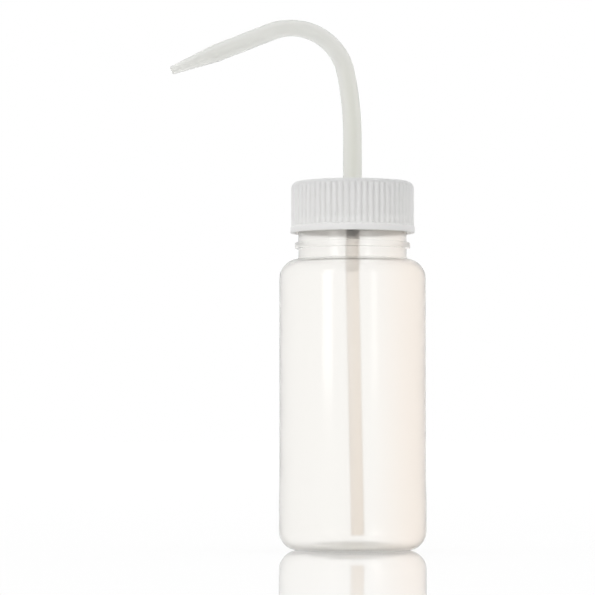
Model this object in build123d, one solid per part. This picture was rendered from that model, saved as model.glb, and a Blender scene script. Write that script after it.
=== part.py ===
# Wide-mouth wash bottle of 500 ml: blown bottle, seal insert, screw cap, bent spout and dip tube.
# The origin is the centre of the ring that the bottle stands on, +Z is up and the spout points to -X.
# Every length is in millimetres and every angle in degrees.
from build123d import *
import math
import os

# Bottle: side wall, shoulder and foot
body_r = 36.5          # outside radius of the side wall
wall = 1.25            # side wall and shoulder
shoulder_z = 135.4     # top of the straight side wall
heel_r = 9.6           # outside round between the foot and the side wall
heel_inner_r = 7.2     # inside round, a little sharper, so the wall is thinnest at the heel
foot_bulge = 0.25      # how far the foot stands out past the side wall
foot_h = 23.0          # top of the bulged foot
foot_fade = 12.0       # height over which the bulge dies away
ring_w = 2.2           # width of the flat ring that touches the bench
push_up = 3.0          # rise of the base's centre above the ring
floor_t = 1.6          # base

# Bottle: neck, bead and mouth
neck_r = 27.0          # outside radius of the neck between the threads
neck_wall = 1.9
neck_h = 35.5          # from the shoulder's top to the mouth
neck_fillet = 1.2      # where the neck meets the shoulder
bead_proud = 1.75      # transfer bead below the cap
bead_h = 3.2
bead_lift = 5.1        # underside of the bead above the shoulder's top
bead_round = 0.8
mouth_round = 0.5
throat_round = 1.0     # inside, where the shoulder meets the neck's bore

# Screw thread, right-handed
thread_pitch = 5.0
thread_depth = 1.4     # crest above the neck
thread_root_w = 2.7
thread_crest_w = 1.3
neck_turns = 1.5
cap_turns = 1.25
thread_drop = 9.9      # mouth down to the middle of the neck thread's upper end
thread_sink = 0.5      # how deep the thread's root runs into the wall that carries it

# Screw cap
cap_h = 25.7
cap_top_t = 1.6
cap_wall = 1.15        # from the thread's bore to the bottom of the flutes
cap_corner_r = 3.5
crest_clear = 0.5      # neck thread crest to the cap's bore
root_clear = 0.35      # cap thread crest to the neck
flute_count = 62
flute_depth = 0.6
flute_w = 1.7          # across a flute at the cap's outside
flute_floor_w = 0.7
band_h = 3.4           # smooth band below the flutes
band_proud = 0.4
lead_in = 0.6          # chamfer at the cap's mouth
snap_proud = 0.7       # ring inside the cap that keeps the insert in
snap_h = 1.4
snap_clear = 0.3

# Seal insert
disc_t = 1.6
disc_clear = 0.4       # edge of the disc to the cap's bore
plug_clear = 0.25      # plug skirt to the neck's bore
plug_t = 1.4
plug_len = 5.0
hub_wall = 3.6
hub_len = 7.0          # below the disc
insert_fillet = 0.8

# Spout
stem_r = 4.72
running_clear = 0.06   # stem in the hub's bore, so that the spout swivels
hole_clear = 0.3       # stem in the cap's hole
flange_w = 2.6         # flange past the stem
flange_t = 1.4
flange_clear = 0.3     # edge of the flange to its recess
flange_play = 0.1      # top of the flange to the cap
bore_r = 1.8
leg_h = 22.0           # upright leg above the cap
leg_r = 4.62           # leg where the bend starts
lean_in_r = 161.7      # first, slow bend
lean_in_angle = 11.8
lean_in_end_r = 4.5
bend_r = 27.9          # main bend
bend_angle = 99.5
bend_flat = 0.32       # how much the bend flattens the tube at its crown
run_r = 4.4            # tube after the bend
run_len = 29.6
taper_len = 23.9
tip_r = 2.05
tip_bore_r = 0.8
tip_round = 0.9

# Spigot below the insert, and the dip tube on it
stem_tail = 2.0        # stem below the hub
spigot_r = 2.75
spigot_len = 32.0
spigot_chamfer = 0.5
push_clear = 0.03      # dip tube on the spigot
tube_r = 3.45
tube_wall = 0.9
swell_fade = 2.0       # length over which the pushed-on end narrows again
tube_bend_r = 60.0
tube_lean = 1.1        # the tube leans away from the spout
tube_gap = 2.8         # lower end of the tube above the bottle's floor

# Heights and radii that follow from the sizes above
shoulder_r = body_r - neck_r
shoulder_top = shoulder_z + shoulder_r
foot_r = body_r + foot_bulge
ring_r = foot_r - heel_r
mouth_z = shoulder_top + neck_h
neck_bore_r = neck_r - neck_wall
disc_top = mouth_z + disc_t
cap_top = disc_top + cap_top_t
cap_z = cap_top - cap_h
cap_bore_r = neck_r + thread_depth + crest_clear
cap_r = cap_bore_r + cap_wall + flute_depth
hub_bore_r = stem_r + running_clear
hub_z = mouth_z - hub_len
flange_r = stem_r + flange_w
recess_z = disc_top - flange_t - flange_play
spigot_top = hub_z - stem_tail
spigot_z = spigot_top - spigot_len
neck_thread_rise = thread_pitch * neck_turns
neck_thread_z = mouth_z - thread_drop - neck_thread_rise
cap_thread_z = neck_thread_z - thread_pitch / 2
bend_z = cap_top + leg_h

on_end = (Align.CENTER, Align.CENTER, Align.MIN)


def turned(outline):
    """Solid of revolution about Z of a closed outline drawn as (radius, height)."""
    return revolve(make_face(Plane.XZ * outline), Axis.Z)


def softened(solid, radius, spots):
    """Fillet the circular edges that pass through the given (radius, height) spots."""
    circles = solid.edges().filter_by(GeomType.CIRCLE)
    return fillet([circles.sort_by_distance((r, 0, z))[0] for r, z in spots], radius)


def dished_floor(edge_r, edge_z):
    """Half outline of the dished base, from the axis out to its edge."""
    return TangentArc((0, edge_z + push_up), (edge_r, edge_z), tangent=(1, 0))


def bottle_outside():
    """Half outline of the bottle's outside, closed along the axis."""
    ring_in_r = ring_r - ring_w
    base = dished_floor(ring_in_r, 0)
    ring = Line((ring_in_r, 0), (ring_r, 0))
    heel = JernArc((ring_r, 0), (1, 0), heel_r, 90)
    foot = Line((foot_r, heel_r), (foot_r, foot_h))
    fade = Spline((foot_r, foot_h), (body_r, foot_h + foot_fade), tangents=[(0, 1), (0, 1)])
    side = Line((body_r, foot_h + foot_fade), (body_r, shoulder_z))
    shoulder = JernArc((body_r, shoulder_z), (0, 1), shoulder_r, 90)
    neck = Polyline((neck_r, shoulder_top), (neck_r, mouth_z), (0, mouth_z), (0, push_up))
    return Curve() + [base, ring, heel, foot, fade, side, shoulder, neck]


def bottle_inside():
    """Half outline of the hollow inside, closed along the axis and open at the mouth."""
    side_r = foot_r - wall
    base = dished_floor(ring_r - ring_w, floor_t)
    ring = Line((ring_r - ring_w, floor_t), (side_r - heel_inner_r, floor_t))
    heel = JernArc((side_r - heel_inner_r, floor_t), (1, 0), heel_inner_r, 90)
    foot = Line((side_r, floor_t + heel_inner_r), (side_r, foot_h))
    fade = Spline((side_r, foot_h), (body_r - wall, foot_h + foot_fade), tangents=[(0, 1), (0, 1)])
    side = Line((body_r - wall, foot_h + foot_fade), (body_r - wall, shoulder_z))
    shoulder = JernArc((body_r - wall, shoulder_z), (0, 1), shoulder_r - wall, 90)
    neck = Polyline(
        (neck_r, shoulder_top - wall),
        (neck_bore_r, shoulder_top - wall),
        (neck_bore_r, mouth_z),
        (0, mouth_z),
        (0, push_up + floor_t),
    )
    return Curve() + [base, ring, heel, foot, fade, side, shoulder, neck]


def thread(wall_r, crest_r, turns, start_z):
    """Right-handed helical thread that stands on a wall at wall_r and reaches crest_r."""
    inward = crest_r < wall_r
    root_r = wall_r + thread_sink if inward else wall_r - thread_sink
    slope = (thread_root_w - thread_crest_w) / 2 / abs(crest_r - wall_r)
    root_half = thread_crest_w / 2 + slope * abs(crest_r - root_r)
    crest_half = thread_crest_w / 2
    path = Pos(0, 0, start_z) * Helix(thread_pitch, thread_pitch * turns, wall_r)
    section = Polyline(
        (root_r, start_z - root_half),
        (crest_r, start_z - crest_half),
        (crest_r, start_z + crest_half),
        (root_r, start_z + root_half),
        close=True,
    )
    return sweep(make_face(Plane.XZ * section), path=path, is_frenet=True)


def bottle():
    """One-piece blown bottle with its transfer bead and neck thread."""
    shell = turned(bottle_outside())
    shell = softened(shell, neck_fillet, [(neck_r, shoulder_top)])
    bead_z = shoulder_top + bead_lift
    bead = Pos(0, 0, bead_z) * Cylinder(neck_r + bead_proud, bead_h, align=on_end)
    bead = fillet(bead.edges().filter_by(GeomType.CIRCLE), bead_round)
    shell = shell + bead
    shell = shell + thread(neck_r, neck_r + thread_depth, neck_turns, neck_thread_z)
    shell = shell - turned(bottle_inside())
    shell = softened(shell, throat_round, [(neck_bore_r, shoulder_top - wall)])
    return softened(shell, mouth_round, [(neck_r, mouth_z), (neck_bore_r, mouth_z)])


def flute():
    """One groove seen from above: a flat floor and two slopes that run on past the cap's outside."""
    floor_r = cap_r - flute_depth
    mouth_r = cap_r + flute_depth
    mouth_w = 2 * flute_w - flute_floor_w
    return Polyline(
        (floor_r, -flute_floor_w / 2),
        (mouth_r, -mouth_w / 2),
        (mouth_r, mouth_w / 2),
        (floor_r, flute_floor_w / 2),
        close=True,
    )


def fluted_skirt():
    """Outside of the cap, rounded over at the top, with grooves that run out in the round."""
    body = Pos(0, 0, cap_z) * Cylinder(cap_r, cap_h, align=on_end)
    body = fillet(body.faces().sort_by(Axis.Z)[-1].edges(), cap_corner_r)
    grooves = PolarLocations(0, flute_count) * make_face(flute())
    return body - [Pos(0, 0, cap_z) * extrude(groove, cap_h) for groove in grooves]


def cap_band():
    """Smooth band at the cap's mouth, with a slope up to the flutes."""
    band_r = cap_r + band_proud
    slope_h = band_proud + flute_depth
    band = Polyline(
        (0, cap_z),
        (band_r, cap_z),
        (band_r, cap_z + band_h - band_proud),
        (cap_r - flute_depth, cap_z + band_h - band_proud + slope_h),
        (0, cap_z + band_h - band_proud + slope_h),
        close=True,
    )
    return turned(band)


def cap_cavity():
    """Hollow inside of the cap, with its lead-in chamfer and the hole for the spout."""
    hollow = Polyline(
        (0, cap_z),
        (cap_bore_r + lead_in, cap_z),
        (cap_bore_r, cap_z + lead_in),
        (cap_bore_r, disc_top),
        (0, disc_top),
        close=True,
    )
    hole = Pos(0, 0, cap_top) * Cylinder(stem_r + hole_clear, 4 * cap_top_t)
    return turned(hollow) + hole


def snap_ring():
    """Ring inside the cap, under the insert's disc, that lifts the insert with the cap."""
    top = mouth_z - snap_clear
    ring = Polyline(
        (cap_bore_r + thread_sink, top),
        (cap_bore_r - snap_proud, top),
        (cap_bore_r, top - snap_h),
        (cap_bore_r + thread_sink, top - snap_h),
        close=True,
    )
    return turned(ring)


def screw_cap():
    """Fluted screw cap with its inside thread."""
    cap = fluted_skirt() + cap_band()
    cap = cap - cap_cavity()
    cap = cap + snap_ring()
    return cap + thread(cap_bore_r, neck_r + root_clear, cap_turns, cap_thread_z)


def seal_insert():
    """Disc on the bottle's mouth, with a plug skirt in the neck and a hub for the spout."""
    plug_r = neck_bore_r - plug_clear
    plug_in_r = plug_r - plug_t
    plug_z = mouth_z - plug_len
    hub_r = hub_bore_r + hub_wall
    disc_r = cap_bore_r - disc_clear
    recess_r = flange_r + flange_clear
    outline = Polyline(
        (hub_bore_r, hub_z),
        (hub_r, hub_z),
        (hub_r, mouth_z),
        (plug_in_r, mouth_z),
        (plug_in_r, plug_z),
        (plug_r - plug_t / 2, plug_z),
        (plug_r, plug_z + plug_t),
        (plug_r, mouth_z),
        (disc_r, mouth_z),
        (disc_r, disc_top),
        (recess_r, disc_top),
        (recess_r, recess_z),
        (hub_bore_r, recess_z),
        close=True,
    )
    insert = turned(outline)
    return softened(insert, insert_fillet, [(hub_r, mouth_z), (plug_in_r, mouth_z)])


def spout_path():
    """Centreline of the bent part: slow lean-in, main bend and straight run."""
    lean_in = JernArc((0, bend_z), (0, 1), lean_in_r, lean_in_angle)
    bend = JernArc(lean_in @ 1, lean_in % 1, bend_r, bend_angle)
    run = Line(bend @ 1, bend @ 1 + run_len * (bend % 1))
    return [Plane.XZ * piece for piece in (lean_in, bend, run)]


def across(piece, share, side_r, flat_r):
    """Section of the tube across a piece of its path, side_r wide in Y and flat_r in the bend's plane."""
    place = Plane(origin=piece @ share, x_dir=(0, 1, 0), z_dir=piece % share)
    return place * Ellipse(side_r, flat_r)


def spout_stem():
    """Upright stem with its flange, and the spigot that carries the dip tube."""
    outline = Polyline(
        (0, spigot_z),
        (spigot_r - spigot_chamfer, spigot_z),
        (spigot_r, spigot_z + 2 * spigot_chamfer),
        (spigot_r, spigot_top),
        (stem_r, spigot_top),
        (stem_r, recess_z),
        (flange_r, recess_z),
        (flange_r, recess_z + flange_t),
        (stem_r, recess_z + flange_t),
        (leg_r, bend_z),
        (0, bend_z),
        close=True,
    )
    return turned(outline)


def spout():
    """Bent spout with its tapered tip, bored right through."""
    lean_in, bend, run = spout_path()
    crown = (90 - lean_in_angle) / bend_angle
    sections = [
        across(lean_in, 0, leg_r, leg_r),
        across(bend, 0, lean_in_end_r, lean_in_end_r),
        across(bend, crown, run_r + bend_flat, run_r - bend_flat),
        across(run, 0, run_r, run_r),
        across(run, 1, run_r, run_r),
    ]
    tube = sweep(sections, path=Wire([lean_in, bend, run]), multisection=True)
    nose_place = Plane(origin=run @ 1, x_dir=(0, 1, 0), z_dir=run % 1)
    nose = nose_place * Cone(run_r, tip_r, taper_len, align=on_end)
    nose = fillet(nose.edges().filter_by(GeomType.CIRCLE).sort_by_distance(run @ 1)[-1], tip_round)
    nose_bore = nose_place * Cone(bore_r, tip_bore_r, taper_len, align=on_end)
    stem_bore = Pos(0, 0, spigot_z) * Cylinder(bore_r, bend_z - spigot_z, align=on_end)
    bore_section = Plane(origin=lean_in @ 0, z_dir=lean_in % 0) * Circle(bore_r)
    bend_bore = sweep(bore_section, path=Wire([lean_in, bend, run]))
    return spout_stem() + tube + nose - stem_bore - bend_bore - nose_bore


def dip_tube_path(top_z):
    """Centreline of the dip tube below its pushed-on end, from top_z down to the open end."""
    bend = JernArc((0, top_z), (0, -1), tube_bend_r, tube_lean)
    end_z = push_up + floor_t + tube_gap
    run_down = ((bend @ 1).Y - end_z) / math.cos(math.radians(tube_lean))
    run = Line(bend @ 1, bend @ 1 + run_down * (bend % 1))
    return [Plane.XZ * piece for piece in (bend, run)]


def dip_tube():
    """Soft tube, swollen where it is pushed over the spigot, that leans away from the spout."""
    tube_bore_r = tube_r - tube_wall
    swell_bore_r = spigot_r + push_clear
    swell_r = swell_bore_r + tube_wall
    fade_z = spigot_z - swell_fade
    sleeve = Polyline(
        (tube_bore_r, fade_z),
        (tube_r, fade_z),
        (swell_r, spigot_z),
        (swell_r, spigot_top),
        (swell_bore_r, spigot_top),
        (swell_bore_r, spigot_z),
        close=True,
    )
    pieces = dip_tube_path(fade_z)
    ring = Plane(origin=pieces[0] @ 0, z_dir=pieces[0] % 0) * (Circle(tube_r) - Circle(tube_bore_r))
    return turned(sleeve) + sweep(ring, path=Wire(pieces))


def main():
    """Build every piece and write each to its own file."""
    nodes = {
        "bottle": bottle(),
        "seal_insert": seal_insert(),
        "screw_cap": screw_cap(),
        "spout": spout(),
        "dip_tube": dip_tube(),
    }
    os.makedirs("parts", exist_ok=True)
    for name, solid in nodes.items():
        export_step(solid, f"parts/{name}.step")
        print(name, round(solid.volume / 1000, 2), "ml of plastic")
    brim = turned(bottle_inside()).volume / 1000
    print("brim volume", round(brim), "ml")


main()
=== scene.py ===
"""Looks of the wash bottle: blown bottle, screw cap, seal insert, bent spout and dip tube.

Every class holds the sizes of one sub-assembly in millimetres, named as on the part's own drawing. Heights and
outer radii come from the frame where it gives them. Meshes are built in metres, in the frame's own place.
"""

import logging
import math
from collections import defaultdict
from dataclasses import dataclass, field
from enum import Enum

import bmesh
import bpy
from mathutils import Matrix, Vector

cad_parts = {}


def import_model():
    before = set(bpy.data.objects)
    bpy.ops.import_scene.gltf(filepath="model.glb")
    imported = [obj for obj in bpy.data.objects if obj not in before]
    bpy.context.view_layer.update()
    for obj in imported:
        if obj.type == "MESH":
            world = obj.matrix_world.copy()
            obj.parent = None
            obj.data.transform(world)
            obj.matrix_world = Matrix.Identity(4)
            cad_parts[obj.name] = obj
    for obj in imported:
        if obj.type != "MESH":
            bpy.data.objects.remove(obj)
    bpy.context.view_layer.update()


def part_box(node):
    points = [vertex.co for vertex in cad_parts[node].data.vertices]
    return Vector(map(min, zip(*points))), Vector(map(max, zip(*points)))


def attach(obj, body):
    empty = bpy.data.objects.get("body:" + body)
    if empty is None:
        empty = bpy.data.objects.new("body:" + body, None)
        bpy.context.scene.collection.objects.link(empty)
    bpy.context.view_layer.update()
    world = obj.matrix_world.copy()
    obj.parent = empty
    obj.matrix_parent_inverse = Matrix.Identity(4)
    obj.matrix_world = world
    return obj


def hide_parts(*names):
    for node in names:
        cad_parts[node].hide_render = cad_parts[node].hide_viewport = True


log = logging.getLogger("wash_bottle")

MM = 0.001
IMAGE_SIDE = 595
SENSOR_MM = 36.0
WELD = 1e-7
SHARP_ANGLE = math.radians(38)
POLYETHYLENE_IOR = 1.51
POLYPROPYLENE_IOR = 1.49
ACRYLIC_IOR = 1.49
# Share of a slow bend that its arc takes, so that a sliver of straight line stays at its ends.
ARC_SHARE = 0.99

Verts = list[bmesh.types.BMVert]
Edges = list[bmesh.types.BMEdge]


class LookingRay(Enum):
    """Kinds of ray that carry what the camera sees, to which the studio looks plain white."""

    CAMERA = "Is Camera Ray"
    GLOSSY = "Is Glossy Ray"
    THROUGH = "Is Transmission Ray"


@dataclass(frozen=True)
class Corner:
    """A corner of a turned outline, in millimetres.

    Args:
        r: Distance from the bottle's axis.
        z: Height.
        rounding: Radius of the arc that replaces the corner, or 0 for a sharp one.
    """

    r: float
    z: float
    rounding: float = 0.0


@dataclass(frozen=True)
class Station:
    """One ring of a bent tube.

    Args:
        centre: Centre of the ring, in millimetres.
        tilt: Angle of the tube's direction from straight up, in radians, turning towards -X.
        side_r: Radius across the plane of the bend, in millimetres.
        flat_r: Radius in the plane of the bend, in millimetres.
    """

    centre: Vector
    tilt: float
    side_r: float
    flat_r: float

    def matrix(self) -> Matrix:
        """Returns the matrix that takes a circle of radius 1 in XY to this ring, in metres."""
        turn = Matrix.Rotation(-self.tilt, 4, "Y")
        size = Matrix.Diagonal((self.flat_r * MM, self.side_r * MM, 1.0, 1.0))
        return Matrix.Translation(self.centre * MM) @ turn @ size


def linear(hex_colour: str) -> tuple[float, float, float, float]:
    """Turns an sRGB hex colour to linear.

    Args:
        hex_colour: Six hex digits after a hash.

    Returns:
        Red, green, blue and an alpha of 1.
    """
    channels = [int(hex_colour[i : i + 2], 16) / 255 for i in (1, 3, 5)]
    curve = [c / 12.92 if c <= 0.04045 else ((c + 0.055) / 1.055) ** 2.4 for c in channels]
    return (*curve, 1.0)


def add_node(
    tree: bpy.types.NodeTree, kind: str, props: dict | None = None, inputs: dict | None = None
) -> bpy.types.Node:
    """Adds a node with its settings and links.

    Args:
        tree: Node tree that gets the node.
        kind: The node's type name.
        props: Settings of the node itself.
        inputs: Value of an input, or the socket that feeds it.

    Returns:
        The new node.
    """
    node = tree.nodes.new(kind)
    for name, value in (props or {}).items():
        setattr(node, name, value)
    for name, value in (inputs or {}).items():
        if isinstance(value, bpy.types.NodeSocket):
            tree.links.new(value, node.inputs[name])
        else:
            node.inputs[name].default_value = value
    return node


def new_material(name: str) -> tuple[bpy.types.Material, bpy.types.NodeTree]:
    """Returns a new material by that name and its empty node tree."""
    material = bpy.data.materials.new(name)
    material.use_nodes = True
    material.node_tree.nodes.clear()
    return material, material.node_tree


@dataclass(frozen=True)
class NaturalPolyethylene:
    """Low-density polyethylene without pigment: see-through, a little milky, waxy to the eye.

    Args:
        name: Material name.
        clear: Colour where the wall looks clearest.
        warm: Colour it takes on towards +X, on the side away from the spout.
        warm_from_mm: Place across the piece where it starts to turn warm.
        warm_to_mm: Place where it has its warm colour.
        through: Share of the light that passes through instead of scattering back.
        bend: IOR that bends what is seen through it; a thin wall hardly bends it, so it is near 1 there.
        haze: Roughness for what is seen through it.
        gloss: Roughness of the skin's own reflections, at polyethylene's IOR.
        shine: Weight of those reflections.
        dims: Colour that a long way inside the plastic takes on.
        dim_density: How fast it takes it on, per metre.
        grain_mm: Size of the surface's fine grain, drawn coarser than the real one so that it shows.
        grain_depth_mm: Height of that grain.
        wave_mm: Size of the slow unevenness of the wall.
        wave_depth_mm: Height of that unevenness.
    """

    name: str
    clear: str
    warm: str
    warm_from_mm: float
    warm_to_mm: float
    through: float
    bend: float
    haze: float
    gloss: float
    shine: float
    dims: str
    dim_density: float
    grain_mm: float
    grain_depth_mm: float
    wave_mm: float
    wave_depth_mm: float

    def material(self) -> bpy.types.Material:
        """Returns the material."""
        material, tree = new_material(self.name)
        place = add_node(tree, "ShaderNodeTexCoord").outputs["Object"]
        # The tint grows warmer across the piece towards +X, by a few percent.
        across = add_node(tree, "ShaderNodeSeparateXYZ", inputs={"Vector": place}).outputs["X"]
        span = {"From Min": self.warm_from_mm * MM, "From Max": self.warm_to_mm * MM}
        share = add_node(
            tree, "ShaderNodeMapRange", {"interpolation_type": "SMOOTHSTEP"}, {"Value": across, **span}
        )
        tint = add_node(
            tree,
            "ShaderNodeMix",
            {"data_type": "RGBA"},
            {0: share.outputs["Result"], 6: linear(self.clear), 7: linear(self.warm)},
        )
        grain = add_node(tree, "ShaderNodeTexNoise", inputs={"Vector": place, "Scale": 1 / (self.grain_mm * MM)})
        wave = add_node(tree, "ShaderNodeTexNoise", inputs={"Vector": place, "Scale": 1 / (self.wave_mm * MM)})
        wavy = add_node(
            tree,
            "ShaderNodeBump",
            inputs={"Height": wave.outputs["Fac"], "Distance": self.wave_depth_mm * MM},
        )
        grainy = add_node(
            tree,
            "ShaderNodeBump",
            inputs={
                "Height": grain.outputs["Fac"],
                "Distance": self.grain_depth_mm * MM,
                "Normal": wavy.outputs["Normal"],
            },
        )
        shader = add_node(
            tree,
            "ShaderNodeBsdfPrincipled",
            inputs={
                "Base Color": tint.outputs[2],
                "Roughness": self.haze,
                "IOR": self.bend,
                "Transmission Weight": self.through,
                "Coat Weight": self.shine,
                "Coat Roughness": self.gloss,
                "Coat IOR": POLYETHYLENE_IOR,
                "Normal": grainy.outputs["Normal"],
            },
        )
        inside = add_node(
            tree,
            "ShaderNodeVolumeAbsorption",
            inputs={"Color": linear(self.dims), "Density": self.dim_density},
        )
        add_node(
            tree,
            "ShaderNodeOutputMaterial",
            inputs={"Surface": shader.outputs["BSDF"], "Volume": inside.outputs["Volume"]},
        )
        return material


@dataclass(frozen=True)
class WhitePolypropylene:
    """White pigmented polypropylene, injection moulded in a fine spark-eroded mould: satin, a little soft.

    Args:
        name: Material name.
        colour: Colour of the moulding.
        shade: Colour of its slightly darker flow marks.
        roughness: Roughness of the satin surface.
        soft_mm: How far light spreads inside.
        flow_mm: Size of the flow marks.
        grain_mm: Size of the mould's grain, drawn coarser than the real one so that it shows.
        grain_depth_mm: Height of that grain.
    """

    name: str
    colour: str
    shade: str
    roughness: float
    soft_mm: float
    flow_mm: float
    grain_mm: float
    grain_depth_mm: float

    def material(self) -> bpy.types.Material:
        """Returns the material."""
        material, tree = new_material(self.name)
        place = add_node(tree, "ShaderNodeTexCoord").outputs["Object"]
        flow = add_node(
            tree, "ShaderNodeTexNoise", inputs={"Vector": place, "Scale": 1 / (self.flow_mm * MM), "Detail": 3.0}
        )
        tint = add_node(
            tree,
            "ShaderNodeMix",
            {"data_type": "RGBA"},
            {0: flow.outputs["Fac"], 6: linear(self.colour), 7: linear(self.shade)},
        )
        grain = add_node(tree, "ShaderNodeTexNoise", inputs={"Vector": place, "Scale": 1 / (self.grain_mm * MM)})
        grainy = add_node(
            tree,
            "ShaderNodeBump",
            inputs={"Height": grain.outputs["Fac"], "Distance": self.grain_depth_mm * MM},
        )
        shader = add_node(
            tree,
            "ShaderNodeBsdfPrincipled",
            inputs={
                "Base Color": tint.outputs[2],
                "Roughness": self.roughness,
                "IOR": POLYPROPYLENE_IOR,
                "Subsurface Weight": 1.0,
                "Subsurface Radius": (1.0, 1.0, 1.0),
                "Subsurface Scale": self.soft_mm * MM,
                "Normal": grainy.outputs["Normal"],
            },
        )
        add_node(tree, "ShaderNodeOutputMaterial", inputs={"Surface": shader.outputs["BSDF"]})
        return material


def round_corners(bm: bmesh.types.BMesh, corners: list[Corner], verts: Verts, segments: int) -> None:
    """Replaces the rounded corners of a wire outline by arcs.

    Args:
        bm: Mesh that holds the outline.
        corners: The outline's corners.
        verts: Their vertices, in the same order.
        segments: Steps of each arc.
    """
    for k in range(1, len(corners) - 1):
        if not corners[k].rounding:
            continue
        before = (verts[k - 1].co - verts[k].co).normalized()
        after = (verts[k + 1].co - verts[k].co).normalized()
        half_turn = (math.pi - before.angle(after)) / 2
        trim = corners[k].rounding * MM * math.tan(half_turn)
        made = bmesh.ops.bevel(
            bm,
            geom=[verts[k]],
            offset=trim,
            offset_type="OFFSET",
            segments=segments,
            profile=0.5,
            affect="VERTICES",
            clamp_overlap=False,
            material=-1,
        )
        verts[k] = min(made["verts"], key=lambda v: (v.co - verts[k + 1].co).length)


def turned(corners: list[Corner], steps: int, closed: bool = False, segments: int = 8) -> bmesh.types.BMesh:
    """Turns an outline about the bottle's axis.

    Args:
        corners: The outline, from end to end.
        steps: Number of steps round the axis.
        closed: Whether the outline's ends meet; otherwise they lie on the axis.
        segments: Steps of each rounded corner.

    Returns:
        The turned solid as a new mesh.
    """
    bm = bmesh.new()
    verts = [bm.verts.new((c.r * MM, 0, c.z * MM)) for c in corners]
    ends = list(zip(verts, verts[1:]))
    if closed:
        ends.append((verts[-1], verts[0]))
    for a, b in ends:
        bm.edges.new((a, b))
    round_corners(bm, corners, verts, segments)
    bmesh.ops.spin(
        bm,
        geom=bm.verts[:] + bm.edges[:],
        cent=(0, 0, 0),
        axis=(0, 0, 1),
        angle=2 * math.pi,
        steps=steps,
        use_merge=True,
    )
    bmesh.ops.remove_doubles(bm, verts=bm.verts[:], dist=WELD)
    bmesh.ops.recalc_face_normals(bm, faces=bm.faces[:])
    return bm


def swept(bm: bmesh.types.BMesh, stations: list[Station], sides: int) -> tuple[Edges, Edges]:
    """Draws a tube through its stations by carrying a ring from each to the next.

    Args:
        bm: Mesh that gets the tube.
        stations: Rings from one end to the other.
        sides: Vertices of a ring.

    Returns:
        The edges of the first ring and of the last.
    """
    first = stations[0].matrix()
    verts = bmesh.ops.create_circle(bm, segments=sides, radius=1.0, matrix=first)["verts"]
    edges = list({edge for vert in verts for edge in vert.link_edges})
    start = edges
    for near, far in zip(stations, stations[1:]):
        made = bmesh.ops.extrude_edge_only(bm, edges=edges)["geom"]
        verts = [item for item in made if isinstance(item, bmesh.types.BMVert)]
        edges = [item for item in made if isinstance(item, bmesh.types.BMEdge)]
        edges = [edge for edge in edges if all(vert in verts for vert in edge.verts)]
        bmesh.ops.transform(bm, matrix=far.matrix() @ near.matrix().inverted(), verts=verts)
    return start, edges


def hollow_tube(outside: list[Station], bore: list[Station], sides: int) -> bmesh.types.BMesh:
    """Draws a tube with a bore, closed between them at both ends.

    Args:
        outside: Stations of the outside.
        bore: Stations of the bore, between the same two ends.
        sides: Vertices of a ring.

    Returns:
        The tube as a new mesh.
    """
    bm = bmesh.new()
    outer_start, outer_end = swept(bm, outside, sides)
    inner_start, inner_end = swept(bm, bore, sides)
    bmesh.ops.bridge_loops(bm, edges=outer_start + inner_start)
    bmesh.ops.bridge_loops(bm, edges=outer_end + inner_end)
    bmesh.ops.recalc_face_normals(bm, faces=bm.faces[:])
    return bm


def helical_thread(outline: list[Corner], pitch: float, turns: float, steps_a_turn: int) -> bmesh.types.BMesh:
    """Draws a right-handed screw thread.

    Args:
        outline: The thread's closed section at its lower end.
        pitch: Rise of a turn, in millimetres.
        turns: Number of turns.
        steps_a_turn: Steps of a turn.

    Returns:
        The thread as a new closed mesh.
    """
    bm = bmesh.new()
    verts = [bm.verts.new((c.r * MM, 0, c.z * MM)) for c in outline]
    face = bm.faces.new(verts)
    steps = round(turns * steps_a_turn)
    bmesh.ops.spin(
        bm,
        geom=[face],
        cent=(0, 0, 0),
        axis=(0, 0, 1),
        dvec=(0, 0, pitch * MM / steps_a_turn),
        angle=2 * math.pi * turns,
        steps=steps,
    )
    bmesh.ops.recalc_face_normals(bm, faces=bm.faces[:])
    return bm


def finish_piece(bm: bmesh.types.BMesh, name: str, material: bpy.types.Material) -> bpy.types.Object:
    """Makes an object of a mesh, smooth except along its sharp edges.

    Args:
        bm: The mesh, which is freed.
        name: The object's name.
        material: Its material.

    Returns:
        The object, at the origin.
    """
    mesh = bpy.data.meshes.new(name)
    bm.to_mesh(mesh)
    bm.free()
    for face in mesh.polygons:
        face.use_smooth = True
    mesh.set_sharp_from_angle(angle=SHARP_ANGLE)
    mesh.materials.append(material)
    piece = bpy.data.objects.new(name, mesh)
    bpy.context.scene.collection.objects.link(piece)
    return piece


def joined(piece: bpy.types.Object, extra: bpy.types.Object) -> None:
    """Unites a second closed mesh with a piece, and removes it.

    Args:
        piece: The piece that gets the shape.
        extra: What it is united with.
    """
    union = piece.modifiers.new("union", "BOOLEAN")
    union.operation = "UNION"
    union.solver = "EXACT"
    union.object = extra
    graph = bpy.context.evaluated_depsgraph_get()
    mesh = bpy.data.meshes.new_from_object(piece.evaluated_get(graph))
    piece.modifiers.clear()
    old = piece.data
    piece.data = mesh
    bpy.data.meshes.remove(old)
    bpy.data.objects.remove(extra)
    mesh.name = piece.name
    mesh.set_sharp_from_angle(angle=SHARP_ANGLE)


def settle(piece: bpy.types.Object, node: str, body: str) -> None:
    """Puts a finished piece in the place of its node.

    Args:
        piece: The finished piece.
        node: The node that it stands for.
        body: The body that it moves with.
    """
    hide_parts(node)
    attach(piece, body)
    log.info("%s: %d faces, moves with %s", piece.name, len(piece.data.polygons), body)


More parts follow.
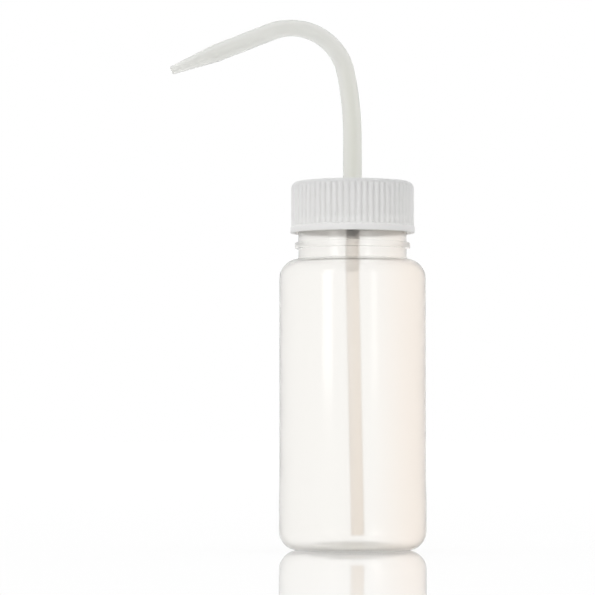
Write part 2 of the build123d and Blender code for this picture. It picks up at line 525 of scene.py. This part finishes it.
@dataclass
class ScrewThread:
    """The thread that the neck and the cap share."""

    pitch: float = 5.0
    depth: float = 1.4
    root_w: float = 2.7
    crest_w: float = 1.3
    sink: float = 0.5
    steps_a_turn: int = 72

    def build(self, wall_r: float, crest_r: float, start_z: float, turns: float) -> bmesh.types.BMesh:
        """Draws the thread on a wall.

        Args:
            wall_r: Radius of the wall that carries it.
            crest_r: Radius of its crest.
            start_z: Height of the middle of its lower end.
            turns: Number of turns.

        Returns:
            The thread as a new closed mesh.
        """
        root_r = wall_r + math.copysign(self.sink, wall_r - crest_r)
        slope = (self.root_w - self.crest_w) / 2 / abs(crest_r - wall_r)
        crest_half = self.crest_w / 2
        root_half = crest_half + slope * abs(crest_r - root_r)
        outline = [
            Corner(root_r, start_z - root_half),
            Corner(crest_r, start_z - crest_half),
            Corner(crest_r, start_z + crest_half),
            Corner(root_r, start_z + root_half),
        ]
        return helical_thread(outline, self.pitch, turns, self.steps_a_turn)


@dataclass
class Bottle:
    """The blown bottle: body, shoulder, neck with bead and thread, dished base."""

    wall: float = 1.25
    floor: float = 1.6
    foot_bulge: float = 0.25
    foot_h: float = 23.0
    foot_fade: float = 12.0
    heel_r: float = 9.6
    heel_inner_r: float = 7.2
    ring_w: float = 2.2
    push_up: float = 3.0
    neck_r: float = 27.0
    neck_wall: float = 1.9
    neck_h: float = 35.5
    neck_fillet: float = 1.2
    throat_round: float = 1.0
    bead_proud: float = 1.75
    bead_h: float = 3.2
    bead_lift: float = 5.1
    bead_round: float = 0.8
    mouth_round: float = 0.5
    thread_turns: float = 1.5
    thread_drop: float = 9.9
    steps: int = 144
    thread: ScrewThread = field(default_factory=ScrewThread)

    def __post_init__(self) -> None:
        """Takes the height of the mouth and the widest radius from the frame."""
        low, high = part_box("bottle")
        self.mouth_z = high.z / MM
        self.foot_r = (high.y - low.y) / 2 / MM
        self.body_r = self.foot_r - self.foot_bulge
        self.bore_r = self.neck_r - self.neck_wall
        self.shoulder_top = self.mouth_z - self.neck_h
        self.shoulder_r = self.body_r - self.neck_r

    def outside(self) -> list[Corner]:
        """Returns the outside from the middle of the base up to the mouth."""
        bead_z = self.shoulder_top + self.bead_lift
        bead_r = self.neck_r + self.bead_proud
        rise = math.asin(self.neck_fillet / (self.shoulder_r + self.neck_fillet))
        turn = self.shoulder_r * math.tan((math.pi / 2 - rise) / 2)
        corner_z = self.shoulder_top - self.shoulder_r + turn
        return [
            *self.dish(0),
            Corner(self.foot_r - self.heel_r - self.ring_w, 0),
            Corner(self.foot_r, 0, self.heel_r),
            *self.foot(self.foot_r, self.body_r),
            Corner(self.body_r, corner_z, self.shoulder_r),
            Corner(self.neck_r, corner_z + self.shoulder_r * math.tan(rise), self.neck_fillet),
            Corner(self.neck_r, bead_z),
            Corner(bead_r, bead_z, self.bead_round),
            Corner(bead_r, bead_z + self.bead_h, self.bead_round),
            Corner(self.neck_r, bead_z + self.bead_h),
            Corner(self.neck_r, self.mouth_z, self.mouth_round),
        ]

    def dish(self, edge_z: float) -> list[Corner]:
        """Returns the arc of the dished base, whose edge is at edge_z."""
        edge_r = self.foot_r - self.heel_r - self.ring_w
        round_r = (edge_r**2 + self.push_up**2) / (2 * self.push_up)
        top_z = edge_z + self.push_up
        return [Corner(0, top_z), Corner(round_r * self.push_up / edge_r, top_z, ARC_SHARE * round_r)]

    def foot(self, low_r: float, high_r: float) -> list[Corner]:
        """Returns the slow bend from the foot's bulge up to the side wall."""
        quarter = self.foot_fade / 4
        slope = math.atan((low_r - high_r) / (2 * quarter))
        round_r = ARC_SHARE * quarter / math.tan(slope / 2)
        low_z = self.foot_h + quarter
        return [Corner(low_r, low_z, round_r), Corner(high_r, low_z + 2 * quarter, round_r)]

    def inside(self) -> list[Corner]:
        """Returns the inside from the mouth down to the middle of the base."""
        side_r = self.body_r - self.wall
        foot_side_r = self.foot_r - self.wall
        ceiling = self.shoulder_top - self.wall
        return [
            Corner(self.bore_r, self.mouth_z, self.mouth_round),
            Corner(self.bore_r, ceiling, self.throat_round),
            Corner(side_r, ceiling, self.shoulder_r - self.wall),
            *reversed(self.foot(foot_side_r, side_r)),
            Corner(foot_side_r, self.floor, self.heel_inner_r),
            Corner(self.foot_r - self.heel_r - self.ring_w, self.floor),
            *reversed(self.dish(self.floor)),
        ]

    def build(self, material: bpy.types.Material) -> None:
        """Builds the bottle.

        Args:
            material: Its material.
        """
        shell = finish_piece(turned(self.outside() + self.inside(), self.steps), "blown_bottle", material)
        start_z = self.mouth_z - self.thread_drop - self.thread.pitch * self.thread_turns
        crest_r = self.neck_r + self.thread.depth
        thread = self.thread.build(self.neck_r, crest_r, start_z, self.thread_turns)
        joined(shell, finish_piece(thread, "neck_thread", material))
        settle(shell, "bottle", "bottle")


@dataclass
class ScrewCap:
    """The fluted screw cap with its smooth band, snap ring and inside thread."""

    top_t: float = 1.6
    wall: float = 1.15
    corner_r: float = 3.5
    crest_clear: float = 0.5
    root_clear: float = 0.35
    flute_count: int = 62
    flute_depth: float = 0.6
    band_h: float = 3.4
    band_proud: float = 0.4
    band_round: float = 0.25
    lead_in: float = 0.6
    snap_proud: float = 0.7
    snap_h: float = 1.4
    snap_drop: float = 0.3
    snap_round: float = 0.15
    hole_r: float = 5.02
    hole_round: float = 0.2
    insert_t: float = 1.6
    thread_turns: float = 1.25
    # How many turns the cap's thread starts below the neck's, so that it runs between its turns.
    thread_lag: float = 0.5
    # Depth of the flute at each of its columns, from its middle to the middle of the next one.
    flute_shape: tuple[float, ...] = (1.0, 0.93, 0.42, 0.04, 0.0, 0.0, 0.0, 0.04, 0.42, 0.93)

    def corners(self, bottle: Bottle, low_z: float, top_z: float) -> list[Corner]:
        """Returns the cap's closed section, without flutes or thread.

        Args:
            bottle: The bottle that it screws on.
            low_z: Height of the cap's mouth.
            top_z: Height of its top.

        Returns:
            The corners from the mouth's inner edge outwards and round.
        """
        bore_r = bottle.neck_r + bottle.thread.depth + self.crest_clear
        cap_r = bore_r + self.wall + self.flute_depth
        band_r = cap_r + self.band_proud
        ceiling = top_z - self.top_t
        slope_z = low_z + self.band_h - self.band_proud
        snap_top = ceiling - self.insert_t - self.snap_drop
        return [
            Corner(bore_r + self.lead_in, low_z),
            Corner(band_r, low_z, self.band_round),
            Corner(band_r, slope_z, self.band_round),
            Corner(cap_r, slope_z + self.band_proud),
            Corner(cap_r, top_z, self.corner_r),
            Corner(self.hole_r, top_z, self.hole_round),
            Corner(self.hole_r, ceiling),
            Corner(bore_r, ceiling),
            Corner(bore_r, snap_top),
            Corner(bore_r - self.snap_proud, snap_top, self.snap_round),
            Corner(bore_r, snap_top - self.snap_h),
            Corner(bore_r, low_z + self.lead_in),
        ]

    def cut_flutes(self, bm: bmesh.types.BMesh, cap_r: float, from_z: float) -> None:
        """Presses the flutes into the outside, where they run out in the rounded top.

        Args:
            bm: The turned cap.
            cap_r: Radius over the ridges.
            from_z: Height at which the ridges rise from the band's slope.
        """
        floor_r = (cap_r - self.flute_depth) * MM
        columns = len(self.flute_shape)
        step = 2 * math.pi / (self.flute_count * columns)
        alike = defaultdict(list)
        for vert in bm.verts:
            r = math.hypot(vert.co.x, vert.co.y)
            if vert.co.z > from_z * MM - WELD and r > floor_r:
                column = round(math.atan2(vert.co.y, vert.co.x) / step) % columns
                alike[round(vert.co.z, 6), round(r, 6), self.flute_shape[column]].append(vert)
        for (z, r, depth), verts in alike.items():
            sunk = (r - floor_r) * depth
            bmesh.ops.scale(bm, vec=(1 - sunk / r, 1 - sunk / r, 1), verts=verts)
            if z < from_z * MM + WELD:
                bmesh.ops.translate(bm, vec=(0, 0, sunk), verts=verts)

    def build(self, bottle: Bottle, material: bpy.types.Material) -> None:
        """Builds the cap.

        Args:
            bottle: The bottle that it screws on.
            material: Its material.
        """
        low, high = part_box("screw_cap")
        corners = self.corners(bottle, low.z / MM, high.z / MM)
        bore_r = corners[-1].r
        cap_r = bore_r + self.wall + self.flute_depth
        bm = turned(corners, self.flute_count * len(self.flute_shape), closed=True, segments=6)
        self.cut_flutes(bm, cap_r, low.z / MM + self.band_h)
        cap = finish_piece(bm, "fluted_cap", material)
        start_turns = bottle.thread_turns + self.thread_lag
        thread_z = bottle.mouth_z - bottle.thread_drop - bottle.thread.pitch * start_turns
        thread = bottle.thread.build(bore_r, bottle.neck_r + self.root_clear, thread_z, self.thread_turns)
        joined(cap, finish_piece(thread, "cap_thread", material))
        settle(cap, "screw_cap", "cap")


@dataclass
class SealInsert:
    """The disc that seals the mouth, with its plug skirt and the hub for the spout."""

    disc_t: float = 1.6
    plug_clear: float = 0.25
    plug_t: float = 1.4
    plug_depth: float = 5.0
    hub_wall: float = 3.6
    hub_bore_r: float = 4.78
    hub_round: float = 0.3
    recess_r: float = 7.62
    recess_depth: float = 1.5
    fillet: float = 0.8
    steps: int = 96

    def build(self, bottle: Bottle, material: bpy.types.Material) -> None:
        """Builds the insert.

        Args:
            bottle: The bottle whose mouth it seals.
            material: Its material.
        """
        low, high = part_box("seal_insert")
        hub_z, disc_top = low.z / MM, high.z / MM
        plug_z = bottle.mouth_z - self.plug_depth
        plug_r = bottle.bore_r - self.plug_clear
        hub_r = self.hub_bore_r + self.hub_wall
        corners = [
            Corner(self.hub_bore_r, hub_z),
            Corner(hub_r, hub_z, self.hub_round),
            Corner(hub_r, bottle.mouth_z, self.fillet),
            Corner(plug_r - self.plug_t, bottle.mouth_z, self.fillet),
            Corner(plug_r - self.plug_t, plug_z),
            Corner(plug_r - self.plug_t / 2, plug_z),
            Corner(plug_r, plug_z + self.plug_t),
            Corner(plug_r, bottle.mouth_z),
            Corner((high.y - low.y) / 2 / MM, bottle.mouth_z),
            Corner((high.y - low.y) / 2 / MM, disc_top),
            Corner(self.recess_r, disc_top),
            Corner(self.recess_r, disc_top - self.recess_depth),
            Corner(self.hub_bore_r, disc_top - self.recess_depth),
        ]
        insert = finish_piece(turned(corners, self.steps, closed=True, segments=4), "mouth_insert", material)
        settle(insert, "seal_insert", "insert")


@dataclass
class Spout:
    """The bent spout: spigot, stem with flange, two bends, straight run and tapered tip.

    The spigot is a piece of its own here, in a lightened copy of the spout's plastic: painted light against the
    shade in the dip tube.
    """

    seam: float = 0.02
    spigot_r: float = 2.75
    spigot_len: float = 32.0
    spigot_chamfer: float = 0.5
    stem_r: float = 4.72
    stem_tail: float = 2.0
    flange_r: float = 7.32
    flange_t: float = 1.4
    flange_play: float = 0.1
    bore_r: float = 1.8
    leg_h: float = 22.0
    leg_r: float = 4.62
    lean_in_r: float = 161.7
    lean_in_angle: float = 11.8
    lean_in_end_r: float = 4.5
    bend_r: float = 27.9
    bend_angle: float = 99.5
    bend_flat: float = 0.32
    run_r: float = 4.4
    run_len: float = 29.6
    taper_len: float = 23.9
    tip_r: float = 2.05
    tip_bore_r: float = 0.8
    tip_round: float = 0.9
    sides: int = 64
    lean_in_steps: int = 10
    bend_steps: int = 40
    tip_steps: int = 8

    def __post_init__(self) -> None:
        """Takes the heights from the frame."""
        insert_low, insert_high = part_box("seal_insert")
        self.spigot_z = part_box("spout")[0].z / MM
        self.spigot_top = insert_low.z / MM - self.stem_tail
        self.flange_z = insert_high.z / MM - self.flange_t - self.flange_play
        self.bend_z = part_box("screw_cap")[1].z / MM + self.leg_h

    def upright(self, z: float, r: float) -> Station:
        """Returns a round station on the upright leg."""
        return Station(Vector((0, 0, z)), 0.0, r, r)

    def arc(self, start: Station, radius: float, angle: float, share: float) -> tuple[Vector, float]:
        """Follows an arc from a station.

        Args:
            start: Where the arc starts.
            radius: Its radius, in millimetres.
            angle: Its whole angle, in degrees.
            share: How much of it to follow.

        Returns:
            The point reached, and the tilt there.
        """
        tilt = start.tilt + math.radians(angle) * share
        across = math.cos(start.tilt) - math.cos(tilt)
        along = math.sin(tilt) - math.sin(start.tilt)
        return start.centre + radius * Vector((-across, 0, along)), tilt

    def bends(self, bore: bool) -> list[Station]:
        """Returns the stations of both bends and the straight run.

        Args:
            bore: Whether they are the bore's or the outside's.

        Returns:
            The stations from the leg to the start of the taper.
        """
        # Share of the tight bend at its crown, where the tube is flattest.
        crown = (90 - self.lean_in_angle) / self.bend_angle
        start = self.upright(self.bend_z, self.leg_r)
        stations = []
        for k in range(self.lean_in_steps + 1):
            share = k / self.lean_in_steps
            centre, tilt = self.arc(start, self.lean_in_r, self.lean_in_angle, share)
            r = self.leg_r + (self.lean_in_end_r - self.leg_r) * share
            stations.append(Station(centre, tilt, r, r))
        start = stations[-1]
        for k in range(1, self.bend_steps + 1):
            share = k / self.bend_steps
            centre, tilt = self.arc(start, self.bend_r, self.bend_angle, share)
            r = self.lean_in_end_r + (self.run_r - self.lean_in_end_r) * share
            rise = share / crown if share < crown else (1 - share) / (1 - crown)
            flat = self.bend_flat * (3 * rise**2 - 2 * rise**3)
            stations.append(Station(centre, tilt, r + flat, r - flat))
        stations.append(self.ahead(stations[-1], self.run_len, self.run_r))
        if bore:
            stations = [Station(s.centre, s.tilt, self.bore_r, self.bore_r) for s in stations]
        return stations

    def ahead(self, start: Station, distance: float, r: float) -> Station:
        """Returns a round station straight ahead of another one, at a distance in millimetres."""
        way = Vector((-math.sin(start.tilt), 0, math.cos(start.tilt)))
        return Station(start.centre + distance * way, start.tilt, r, r)

    def outside(self) -> list[Station]:
        """Returns the outside from the stem's foot to the tip."""
        flange_top = self.flange_z + self.flange_t
        stem = [
            self.upright(self.spigot_top, self.stem_r),
            self.upright(self.flange_z, self.stem_r),
            self.upright(self.flange_z, self.flange_r),
            self.upright(flange_top, self.flange_r),
            self.upright(flange_top, self.stem_r),
        ]
        bends = self.bends(bore=False)
        taper_end = self.taper_len - self.tip_round
        end_r = self.tip_r + (self.run_r - self.tip_r) * self.tip_round / self.taper_len
        tip = [self.ahead(bends[-1], taper_end, end_r)]
        for k in range(1, self.tip_steps + 1):
            turn = math.radians(90) * k / self.tip_steps
            out = taper_end + self.tip_round * math.sin(turn)
            tip.append(self.ahead(bends[-1], out, end_r - self.tip_round * (1 - math.cos(turn))))
        return stem + bends + tip

    def bore(self) -> list[Station]:
        """Returns the bore from the stem's foot to the tip."""
        bends = self.bends(bore=True)
        tip = self.ahead(bends[-1], self.taper_len, self.tip_bore_r)
        return [self.upright(self.spigot_top, self.bore_r)] + bends + [tip]

    def spigot(self) -> bmesh.types.BMesh:
        """Returns the spigot as a new mesh, a hair's breadth below the stem's foot."""
        top_z = self.spigot_top - self.seam
        outside = [
            self.upright(self.spigot_z, self.spigot_r - self.spigot_chamfer),
            self.upright(self.spigot_z + 2 * self.spigot_chamfer, self.spigot_r),
            self.upright(top_z, self.spigot_r),
        ]
        bore = [self.upright(self.spigot_z, self.bore_r), self.upright(top_z, self.bore_r)]
        return hollow_tube(outside, bore, self.sides)

    def build(self, material: bpy.types.Material, lightened_spigot_material: bpy.types.Material) -> None:
        """Builds the spout and its spigot.

        Args:
            material: The spout's material.
            lightened_spigot_material: The spigot's material, a clearer, whiter copy of the spout's: painted light
                in the dip tube's shade.
        """
        spout = finish_piece(hollow_tube(self.outside(), self.bore(), self.sides), "bent_spout", material)
        settle(spout, "spout", "spout")
        # The spigot's lightened plastic is painted light against the shade inside the dip tube.
        spigot = finish_piece(self.spigot(), "spout_spigot", lightened_spigot_material)
        settle(spigot, "spout", "spout")


@dataclass
class DipTube:
    """The soft tube on the spigot, which leans away from the spout."""

    tube_r: float = 3.45
    wall: float = 0.9
    push_clear: float = 0.03
    swell_edge: float = 0.6
    swell_fade: float = 2.0
    bend_r: float = 60.0
    lean: float = 1.1
    bend_steps: int = 4
    sides: int = 48

    def stations(self, spout: Spout, bore: bool) -> list[Station]:
        """Returns the tube's stations from its pushed-on end down.

        Args:
            spout: The spout that carries it.
            bore: Whether they are the bore's or the outside's.

        Returns:
            The stations, the last of them at the tube's lower end.
        """
        less = self.wall if bore else 0.0
        swell_r = spout.spigot_r + self.push_clear + self.wall - less
        r = self.tube_r - less
        fade_z = spout.spigot_z - self.swell_fade
        end_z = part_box("dip_tube")[0].z / MM
        stations = [
            spout.upright(spout.spigot_top, swell_r),
            spout.upright(spout.spigot_z + self.swell_edge, swell_r),
            spout.upright(spout.spigot_z, swell_r - self.push_clear),
            spout.upright(fade_z, r),
        ]
        lean = math.radians(self.lean)
        for k in range(1, self.bend_steps + 1):
            turn = lean * k / self.bend_steps
            away = self.bend_r * (1 - math.cos(turn))
            stations.append(Station(Vector((away, 0, fade_z - self.bend_r * math.sin(turn))), turn, r, r))
        last = stations[-1]
        edge = end_z + self.tube_r * math.sin(lean)
        down = (last.centre.z - edge) / math.cos(lean)
        end = last.centre + down * Vector((math.sin(lean), 0, -math.cos(lean)))
        return stations + [Station(end, lean, r, r)]

    def build(self, spout: Spout, material: bpy.types.Material) -> None:
        """Builds the tube.

        Args:
            spout: The spout that carries it.
            material: Its material.
        """
        tube = hollow_tube(self.stations(spout, bore=False), self.stations(spout, bore=True), self.sides)
        piece = finish_piece(tube, "drawing_tube", material)
        settle(piece, "dip_tube", "spout")


@dataclass(frozen=True)
class StripLamp:
    """A tall softbox on the camera's side of the bottle.

    Args:
        name: The lamp's name.
        azimuth: Its direction from the bottle, in degrees to the camera's right.
        away: Its distance from the bottle, in metres.
        width: Its width, in metres.
        bottom: Height of its lower edge, in metres.
        top: Height of its upper edge, in metres.
        radiance: Its brightness, where the white room's is 1.
    """

    name: str
    azimuth: float
    away: float
    width: float
    bottom: float
    top: float
    radiance: float


@dataclass
class Studio:
    """The pale glossy floor, the white surroundings, the soft lamps and the camera."""

    floor_half: float = 30.0
    floor_lift: float = 0.22
    room: float = 0.81
    camera_away: float = 1.64
    camera_high: float = 0.0559
    axis_px: float = 352.6
    horizon_px: float = 437.7
    px_per_mm: float = 2.006
    lamps: tuple[StripLamp, ...] = (
        StripLamp("key", azimuth=-40, away=1.7, width=0.5, bottom=0.17, top=1.4, radiance=2.8),
        StripLamp("fill", azimuth=34, away=1.7, width=0.3, bottom=0.17, top=1.1, radiance=1.6),
    )

    @staticmethod
    def looked_at(tree: bpy.types.NodeTree) -> bpy.types.NodeSocket:
        """Returns a socket that is 1 for rays that look, straight, in gloss or through plastic, or else 0."""
        path = add_node(tree, "ShaderNodeLightPath")
        seen = path.outputs[LookingRay.CAMERA.value]
        for kind in (LookingRay.GLOSSY, LookingRay.THROUGH):
            seen = add_node(
                tree, "ShaderNodeMath", {"operation": "MAXIMUM"}, {0: seen, 1: path.outputs[kind.value]}
            ).outputs["Value"]
        return seen

    def floor(self) -> bpy.types.Object:
        """Lays a white acrylic sheet, whose polish mirrors what stands on it, and returns it."""
        bm = bmesh.new()
        bmesh.ops.create_grid(bm, x_segments=1, y_segments=1, size=self.floor_half)
        mesh = bpy.data.meshes.new("floor")
        bm.to_mesh(mesh)
        bm.free()
        material, tree = new_material("polished_white_acrylic")
        lift = add_node(
            tree, "ShaderNodeMath", {"operation": "MULTIPLY"}, {0: self.looked_at(tree), 1: self.floor_lift}
        )
        shader = add_node(
            tree,
            "ShaderNodeBsdfPrincipled",
            inputs={
                "Base Color": linear("#FDFDFD"),
                "Specular IOR Level": 0.0,
                "Coat Weight": 1.0,
                "Coat Roughness": 0.01,
                "Coat IOR": ACRYLIC_IOR,
                "Emission Color": linear("#FFFFFF"),
                "Emission Strength": lift.outputs["Value"],
            },
        )
        add_node(tree, "ShaderNodeOutputMaterial", inputs={"Surface": shader.outputs["BSDF"]})
        mesh.materials.append(material)
        floor = bpy.data.objects.new("floor", mesh)
        bpy.context.scene.collection.objects.link(floor)
        return floor

    def surroundings(self) -> None:
        """Makes the world white to the eye, in gloss and through plastic, and a little dimmer as a light."""
        world = bpy.data.worlds.new("white_room")
        world.use_nodes = True
        tree = world.node_tree
        tree.nodes.clear()
        strength = add_node(
            tree, "ShaderNodeMapRange", inputs={"Value": self.looked_at(tree), "To Min": self.room, "To Max": 1.0}
        )
        white = add_node(
            tree,
            "ShaderNodeBackground",
            inputs={"Color": linear("#FFFFFF"), "Strength": strength.outputs["Result"]},
        )
        add_node(tree, "ShaderNodeOutputWorld", inputs={"Surface": white.outputs["Background"]})
        bpy.context.scene.world = world

    def lamp(self, lamp: StripLamp, lit: bpy.types.Collection) -> None:
        """Adds a tall soft lamp that faces the bottle.

        Args:
            lamp: Which lamp.
            lit: What it lights and what it leaves out, so that the floor doesn't mirror it.
        """
        data = bpy.data.lights.new(lamp.name, "AREA")
        data.shape = "RECTANGLE"
        data.size = lamp.width
        data.size_y = lamp.top - lamp.bottom
        data.energy = math.pi * lamp.radiance * data.size * data.size_y
        piece = bpy.data.objects.new(lamp.name, data)
        side = math.radians(lamp.azimuth)
        place = Vector((lamp.away * math.sin(side), -lamp.away * math.cos(side), (lamp.top + lamp.bottom) / 2))
        piece.location = place
        aim = Vector((-place.x, -place.y, 0))
        piece.rotation_euler = aim.to_track_quat("-Z", "Y").to_euler()
        piece.visible_camera = False
        piece.light_linking.receiver_collection = lit
        bpy.context.scene.collection.objects.link(piece)

    def camera(self) -> None:
        """Sets the camera where the photograph was taken from."""
        focal_px = self.px_per_mm * self.camera_away / MM
        data = bpy.data.cameras.new("camera")
        data.sensor_width = SENSOR_MM
        data.lens = SENSOR_MM * focal_px / IMAGE_SIDE
        tilt = math.atan((self.horizon_px - IMAGE_SIDE / 2) / focal_px)
        yaw = math.atan((self.axis_px - IMAGE_SIDE / 2) / focal_px)
        camera = bpy.data.objects.new("camera", data)
        camera.location = (0, -self.camera_away, self.camera_high)
        camera.rotation_euler = (math.radians(90) + tilt, 0, yaw)
        bpy.context.scene.collection.objects.link(camera)
        bpy.context.scene.camera = camera

    def build(self) -> None:
        """Builds the studio."""
        lit = bpy.data.collections.new("all_but_the_floor")
        lit.objects.link(self.floor())
        lit.collection_objects[0].light_linking.link_state = "EXCLUDE"
        self.surroundings()
        for lamp in self.lamps:
            self.lamp(lamp, lit)
        self.camera()
        bpy.context.scene.view_settings.view_transform = "Standard"


# Blow moulded: nearly clear, with a soft gloss, slow waves in the wall and grey edges where it is seen along.
BOTTLE_FINISH = NaturalPolyethylene(
    name="natural_polyethylene_blown",
    clear="#FFFEFC",
    warm="#FFFAF5",
    warm_from_mm=6.0,
    warm_to_mm=34.0,
    through=0.99,
    bend=1.04,
    haze=0.4,
    gloss=0.12,
    shine=0.5,
    dims="#D6D6D4",
    dim_density=36.0,
    grain_mm=0.9,
    grain_depth_mm=0.003,
    wave_mm=14.0,
    wave_depth_mm=0.04,
)
# Injection moulded and bent: a thick, glossy wall that looks milky and a little green.
SPOUT_FINISH = NaturalPolyethylene(
    name="natural_polyethylene_moulded",
    clear="#FAFAF8",
    warm="#F9F9F4",
    warm_from_mm=-10.0,
    warm_to_mm=5.0,
    through=0.7,
    bend=1.12,
    haze=0.5,
    gloss=0.1,
    shine=0.7,
    dims="#D8D9D2",
    dim_density=74.0,
    grain_mm=0.6,
    grain_depth_mm=0.003,
    wave_mm=9.0,
    wave_depth_mm=0.02,
)
# The spout's injection-moulded plastic, made clearer and whiter under the dip tube than the part is: painted
# light that keeps the shade there from going dark.
LIGHTENED_SPIGOT_FINISH = NaturalPolyethylene(
    name="natural_polyethylene_spigot_lightened",
    clear="#FFFFFF",
    warm="#FFFFFF",
    warm_from_mm=-3.0,
    warm_to_mm=3.0,
    through=1.0,
    bend=1.05,
    haze=0.3,
    gloss=0.25,
    shine=0.3,
    dims="#D8D9D2",
    dim_density=8.0,
    grain_mm=0.6,
    grain_depth_mm=0.003,
    wave_mm=9.0,
    wave_depth_mm=0.02,
)
# Extruded: an even wall with a dull gloss, warm in colour.
TUBE_FINISH = NaturalPolyethylene(
    name="natural_polyethylene_tube",
    clear="#FFFDFB",
    warm="#FFFBF7",
    warm_from_mm=-3.0,
    warm_to_mm=3.0,
    through=0.97,
    bend=1.12,
    haze=0.25,
    gloss=0.25,
    shine=0.5,
    dims="#E0DCD6",
    dim_density=40.0,
    grain_mm=0.6,
    grain_depth_mm=0.003,
    wave_mm=8.0,
    wave_depth_mm=0.02,
)
# Injection moulded, inside the cap: milky, with little gloss.
INSERT_FINISH = NaturalPolyethylene(
    name="natural_polyethylene_insert",
    clear="#FDFDFB",
    warm="#FDFDFB",
    warm_from_mm=-25.0,
    warm_to_mm=25.0,
    through=0.45,
    bend=1.1,
    haze=0.4,
    gloss=0.3,
    shine=0.5,
    dims="#D8D8D2",
    dim_density=2.0,
    grain_mm=0.6,
    grain_depth_mm=0.003,
    wave_mm=9.0,
    wave_depth_mm=0.02,
)
# Satin white with soft edges; the eroded grain is a twentieth of a millimetre, and is drawn coarser.
CAP_FINISH = WhitePolypropylene(
    name="white_polypropylene",
    colour="#F6F6F4",
    shade="#F3F3F1",
    roughness=0.42,
    soft_mm=5.0,
    flow_mm=14.0,
    grain_mm=0.35,
    grain_depth_mm=0.006,
)


def main() -> None:
    """Builds the looks of every piece around the frame, and the studio."""
    logging.basicConfig(level=logging.INFO, format="%(message)s")
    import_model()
    Studio().build()
    bottle = Bottle()
    bottle.build(BOTTLE_FINISH.material())
    SealInsert().build(bottle, INSERT_FINISH.material())
    ScrewCap().build(bottle, CAP_FINISH.material())
    spout = Spout()
    spout.build(SPOUT_FINISH.material(), LIGHTENED_SPIGOT_FINISH.material())
    DipTube().build(spout, TUBE_FINISH.material())


if __name__ == "__main__":
    main()
